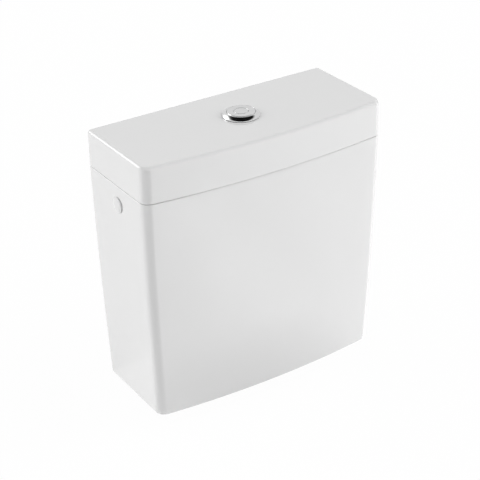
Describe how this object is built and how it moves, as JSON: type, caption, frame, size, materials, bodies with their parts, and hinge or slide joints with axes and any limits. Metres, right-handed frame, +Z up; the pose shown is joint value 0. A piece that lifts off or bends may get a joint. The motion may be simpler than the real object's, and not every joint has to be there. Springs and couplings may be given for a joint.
{
  "type": "toilet cistern",
  "caption": "Close-coupled ceramic toilet cistern with a lift-off lid, a round dual-flush button, a flush valve and a side-inlet fill valve inside.",
  "frame": {"origin": "on the axis of the flush outlet and the button, 3.5 mm right of the ceramic's middle, in the plane of the ceramic foot", "axes": "+Z up, -Y the bowed front, +X the side with the water inlet"},
  "size_m": [0.4053, 0.1645, 0.4173],
  "materials": {
    "glazed_ceramic": "gloss",
    "chrome": "polished",
    "steel": "satin",
    "brass": "satin",
    "black_rubber": "matte",
    "red_rubber": "matte",
    "soft_pads": "matte",
    "white_plastic": "satin",
    "grey_plastic": "satin",
    "blue_plastic": "satin"
  },
  "bodies": {
    "cistern": {"cistern_tank": "glazed_ceramic", "lid_pads": "soft_pads", "valve_base": "white_plastic", "base_washer": "black_rubber", "tail_backnut": "white_plastic", "pan_seal": "black_rubber", "valve_cage": "white_plastic", "valve_mast": "white_plastic", "lever_bridge": "white_plastic", "lever_pin": "steel", "inlet_shank": "brass", "inlet_backnut": "white_plastic", "inlet_inner_washer": "black_rubber", "inlet_outer_washer": "white_plastic", "fill_valve_body": "white_plastic", "float_column": "white_plastic", "fill_diaphragm": "black_rubber", "fill_valve_cap": "blue_plastic", "float_lever_pin": "steel", "silencer_tube": "white_plastic", "side_plug": "white_plastic", "side_plug_washer": "black_rubber", "side_plug_nut": "white_plastic", "coupling_bolts": "steel", "bolt_cone_washers": "black_rubber", "bolt_head_washers": "steel", "bolt_rubber_washers": "black_rubber", "bolt_plate_washers": "steel", "wing_nuts": "brass"},
    "lid": {"cistern_lid": "glazed_ceramic", "button_bezel": "chrome", "bezel_gasket": "black_rubber", "bezel_clamp_nut": "white_plastic", "button_guide": "white_plastic", "full_button_spring": "steel", "half_button_spring": "steel"},
    "full_button": {"full_flush_button": "chrome", "full_push_rod": "white_plastic"},
    "half_button": {"half_flush_button": "chrome", "half_push_rod": "white_plastic"},
    "full_lever": {"full_flush_lever": "grey_plastic"},
    "half_lever": {"half_flush_lever": "grey_plastic"},
    "lifting_tube": {"overflow_tube": "grey_plastic", "seal_nut": "white_plastic", "flush_seal": "red_rubber", "seal_plate": "white_plastic", "full_flush_float": "white_plastic", "lift_collar": "grey_plastic"},
    "half_rod": {"half_pull_rod": "grey_plastic"},
    "half_float": {"half_flush_float": "white_plastic"},
    "fill_float": {"inlet_float": "white_plastic", "float_rod": "blue_plastic", "float_rod_nut": "blue_plastic"},
    "fill_lever": {"float_lever": "blue_plastic"}
  },
  "joints": [
    {"name": "lid_lift", "type": "slide", "parent": "cistern", "child": "lid", "axis": [0, 0, 1], "range_m": [0, 0.16]},
    {"name": "full_flush_press", "type": "slide", "parent": "lid", "child": "full_button", "axis": [0, 0, -1], "range_m": [0, 0.008], "stiffness_N_per_m": 600, "springref_m": -0.005, "deforming": ["full_button_spring"]},
    {"name": "half_flush_press", "type": "slide", "parent": "lid", "child": "half_button", "axis": [0, 0, -1], "range_m": [0, 0.006], "stiffness_N_per_m": 400, "springref_m": -0.006, "deforming": ["half_button_spring"]},
    {"name": "full_lever_turn", "type": "hinge", "parent": "cistern", "child": "full_lever", "pos_m": [0.022, 0, 0.288], "axis": [0, -1, 0], "range_deg": [0, 20.9]},
    {"name": "half_lever_turn", "type": "hinge", "parent": "cistern", "child": "half_lever", "pos_m": [0.022, 0, 0.288], "axis": [0, -1, 0], "range_deg": [0, 15.7]},
    {"name": "tube_lift", "type": "slide", "parent": "cistern", "child": "lifting_tube", "axis": [0, 0, 1], "range_m": [0, 0.0106]},
    {"name": "half_rod_lift", "type": "slide", "parent": "cistern", "child": "half_rod", "axis": [0, 0, 1], "range_m": [0, 0.008]},
    {"name": "half_float_rise", "type": "slide", "parent": "cistern", "child": "half_float", "axis": [0, 0, 1], "range_m": [0, 0.02]},
    {"name": "inlet_float_rise", "type": "slide", "parent": "cistern", "child": "fill_float", "axis": [0, 0, 1], "range_m": [0, 0.012]},
    {"name": "float_lever_turn", "type": "hinge", "parent": "cistern", "child": "fill_lever", "pos_m": [0.12437, 0.003, 0.3386], "axis": [0, 1, 0], "range_deg": [0, 25.2]}
  ],
  "couplings": [
    {"joint": "full_lever_turn", "follows": "full_flush_press", "rad_per_m": 45.455},
    {"joint": "tube_lift", "follows": "full_flush_press", "ratio": 1.32},
    {"joint": "half_lever_turn", "follows": "half_flush_press", "rad_per_m": 45.455},
    {"joint": "half_rod_lift", "follows": "half_flush_press", "ratio": 1.32},
    {"joint": "float_lever_turn", "follows": "inlet_float_rise", "rad_per_m": 36.58}
  ]
}
